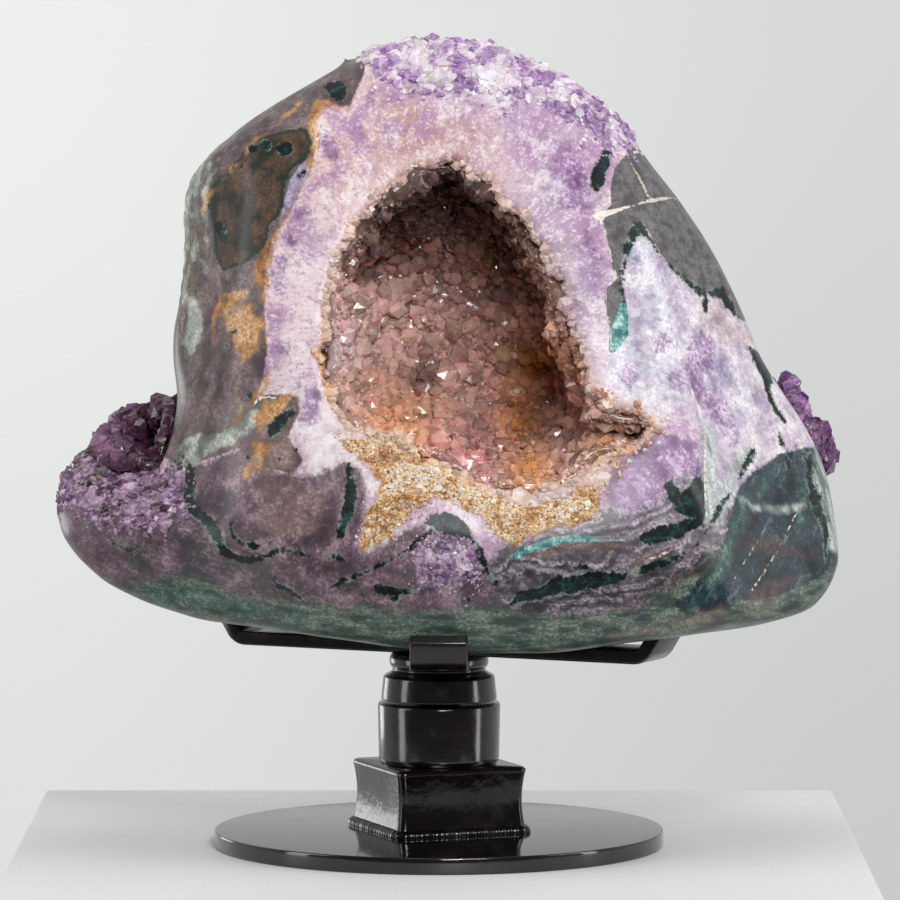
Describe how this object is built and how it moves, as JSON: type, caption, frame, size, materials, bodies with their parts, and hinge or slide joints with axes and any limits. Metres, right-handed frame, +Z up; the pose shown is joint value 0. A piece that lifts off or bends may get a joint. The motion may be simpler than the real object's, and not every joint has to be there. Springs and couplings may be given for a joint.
{
  "type": "amethyst geode on a swivel stand",
  "caption": "Polished crystal geode with a deep druse-lined hollow, resting in a bent-bar cradle that turns on a round steel stand.",
  "frame": {"origin": "centre of the base plate's underside, on the swivel axis", "axes": "+Z up along the swivel axis; +X to the right as seen from the hollow's side; +Y from the hollow's mouth towards the back of the stone"},
  "size_m": [0.6132, 0.352, 0.6351],
  "materials": {
    "polished_stone": "polished agate, basalt and amethyst in bands",
    "hollow_quartz": "glassy pinkish quartz crystals with golden iron stains",
    "purple_amethyst": "glassy dark purple crystals",
    "black_steel": "satin black-brown paint"
  },
  "bodies": {
    "base": {"base_plate": "black_steel", "pinched_block": "black_steel", "bearing_housing": "black_steel"},
    "turntable": {"swivel_collar": "black_steel", "cradle_bar": "black_steel", "front_arm": "black_steel", "back_arm": "black_steel", "geode_stone": "polished_stone", "hollow_crystals": "hollow_quartz", "left_pocket_crystals": "purple_amethyst", "right_pocket_crystals": "purple_amethyst"}
  },
  "joints": [
    {"name": "swivel", "type": "hinge", "parent": "base", "child": "turntable", "pos_m": [0, 0, 0.114], "axis": [0, 0, 1], "continuous": true}
  ]
}
